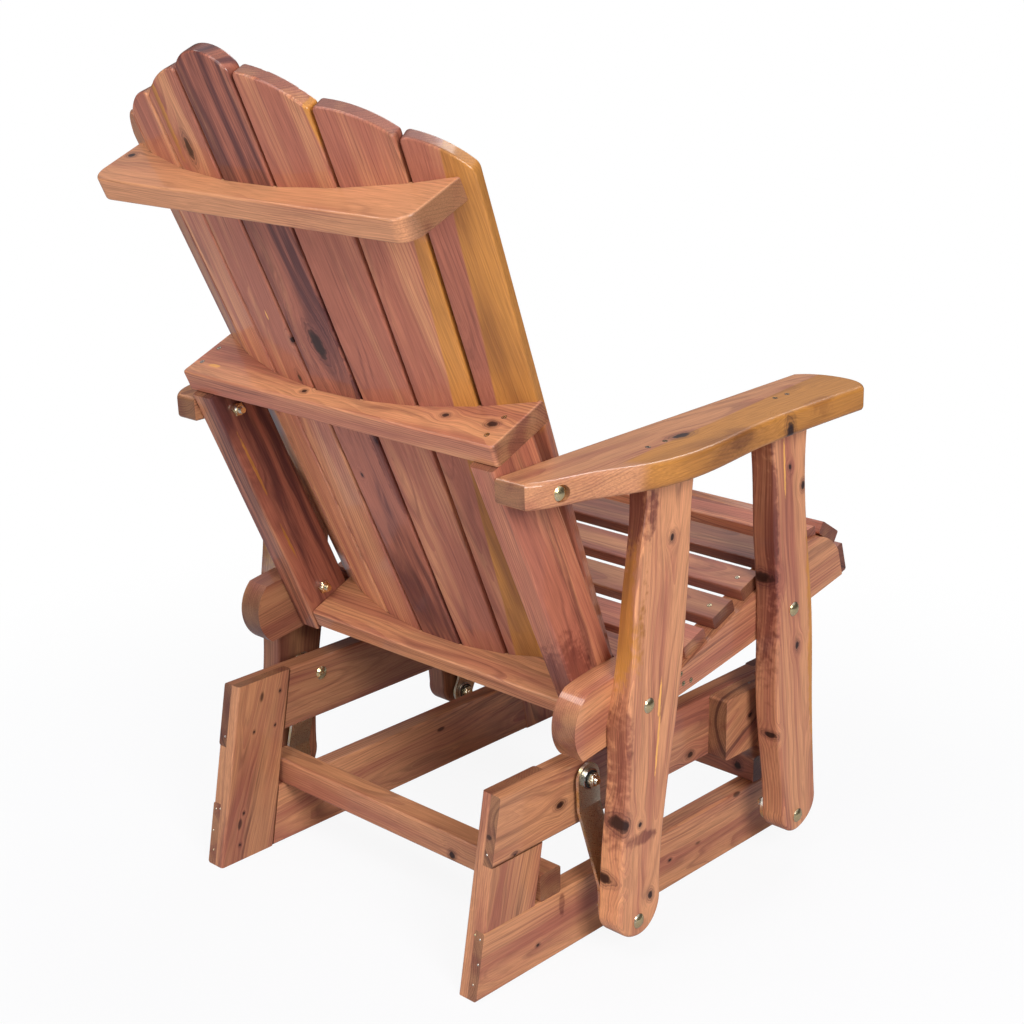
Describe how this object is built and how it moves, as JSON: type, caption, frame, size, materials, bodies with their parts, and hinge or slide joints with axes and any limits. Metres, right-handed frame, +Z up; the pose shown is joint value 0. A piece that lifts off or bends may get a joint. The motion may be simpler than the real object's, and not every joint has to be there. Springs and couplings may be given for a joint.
{
  "type": "adirondack glider",
  "caption": "Wooden adirondack glider chair with a fanned slat back, wide arms and a seat hung from cranked steel links on a low base.",
  "frame": {"origin": "on the floor under the middle of the glider's overall box", "axes": "+Z up, -Y the way the sitter faces, +X the sitter's left"},
  "size_m": [0.7944, 0.8576, 1.1402],
  "materials": {
    "red_cedar": "clear satin varnish",
    "yellow_zinc_steel": "yellow zinc plating",
    "bearing_steel": "ground"
  },
  "bodies": {
    "base": {"base_bottom_rail_left": "red_cedar", "base_bottom_rail_right": "red_cedar", "base_front_post_left": "red_cedar", "base_front_post_right": "red_cedar", "base_rear_post_left": "red_cedar", "base_rear_post_right": "red_cedar", "base_top_rail_left": "red_cedar", "base_top_rail_right": "red_cedar", "front_stretcher": "red_cedar", "rear_stretcher": "red_cedar", "stop_block_left": "red_cedar", "stop_block_right": "red_cedar", "upper_pivot_bolts": "yellow_zinc_steel", "upper_pivot_nuts": "yellow_zinc_steel", "upper_pivot_spacers": "yellow_zinc_steel"},
    "link_rear_right": {"glide_link_rear_right": "yellow_zinc_steel", "link_bearings_rear_right": "bearing_steel"},
    "link_rear_left": {"glide_link_rear_left": "yellow_zinc_steel", "link_bearings_rear_left": "bearing_steel"},
    "link_front_right": {"glide_link_front_right": "yellow_zinc_steel", "link_bearings_front_right": "bearing_steel"},
    "link_front_left": {"glide_link_front_left": "yellow_zinc_steel", "link_bearings_front_left": "bearing_steel"},
    "seat": {"arm_bolts": "yellow_zinc_steel", "arm_left": "red_cedar", "arm_post_front_left": "red_cedar", "arm_post_front_right": "red_cedar", "arm_post_rear_left": "red_cedar", "arm_post_rear_right": "red_cedar", "arm_right": "red_cedar", "back_slat_1": "red_cedar", "back_slat_2": "red_cedar", "back_slat_3": "red_cedar", "back_slat_4": "red_cedar", "back_slat_5": "red_cedar", "back_slat_6": "red_cedar", "back_slat_7": "red_cedar", "back_upright_left": "red_cedar", "back_upright_right": "red_cedar", "front_apron_slat": "red_cedar", "front_nose_slat": "red_cedar", "front_post_bolts": "yellow_zinc_steel", "lower_brace": "red_cedar", "lower_pivot_bolts": "yellow_zinc_steel", "lower_pivot_spacers": "yellow_zinc_steel", "middle_brace": "red_cedar", "rear_post_bolts": "yellow_zinc_steel", "seat_nuts": "yellow_zinc_steel", "seat_rail_left": "red_cedar", "seat_rail_right": "red_cedar", "seat_slat_1": "red_cedar", "seat_slat_2": "red_cedar", "seat_slat_3": "red_cedar", "seat_slat_4": "red_cedar", "seat_slat_5": "red_cedar", "seat_slat_6": "red_cedar", "upper_brace": "red_cedar"}
  },
  "joints": [
    {"name": "rear_right_link_swing", "type": "hinge", "parent": "base", "child": "link_rear_right", "pos_m": [-0.274, 0.09724, 0.236], "axis": [1, 0, 0], "range_deg": [-16, 7]},
    {"name": "rear_left_link_swing", "type": "hinge", "parent": "base", "child": "link_rear_left", "pos_m": [0.274, 0.09724, 0.236], "axis": [1, 0, 0], "range_deg": [-16, 7]},
    {"name": "front_right_link_swing", "type": "hinge", "parent": "base", "child": "link_front_right", "pos_m": [-0.274, -0.33076, 0.236], "axis": [1, 0, 0], "range_deg": [-16.98, 7.49]},
    {"name": "front_left_link_swing", "type": "hinge", "parent": "base", "child": "link_front_left", "pos_m": [0.274, -0.33076, 0.236], "axis": [1, 0, 0], "range_deg": [-16.98, 7.49]},
    {"name": "seat_tilt", "type": "hinge", "parent": "link_rear_right", "child": "seat", "pos_m": [-0.304, 0.08824, 0.05823], "axis": [1, 0, 0], "range_deg": [-8.76, 19.9]}
  ],
  "couplings": [
    {"joint": "rear_left_link_swing", "follows": "rear_right_link_swing", "ratio": 1},
    {"joint": "front_right_link_swing", "follows": "rear_right_link_swing", "ratio": 1.0551},
    {"joint": "front_left_link_swing", "follows": "rear_right_link_swing", "ratio": 1.0551},
    {"joint": "seat_tilt", "follows": "rear_right_link_swing", "ratio": -1.2377}
  ]
}
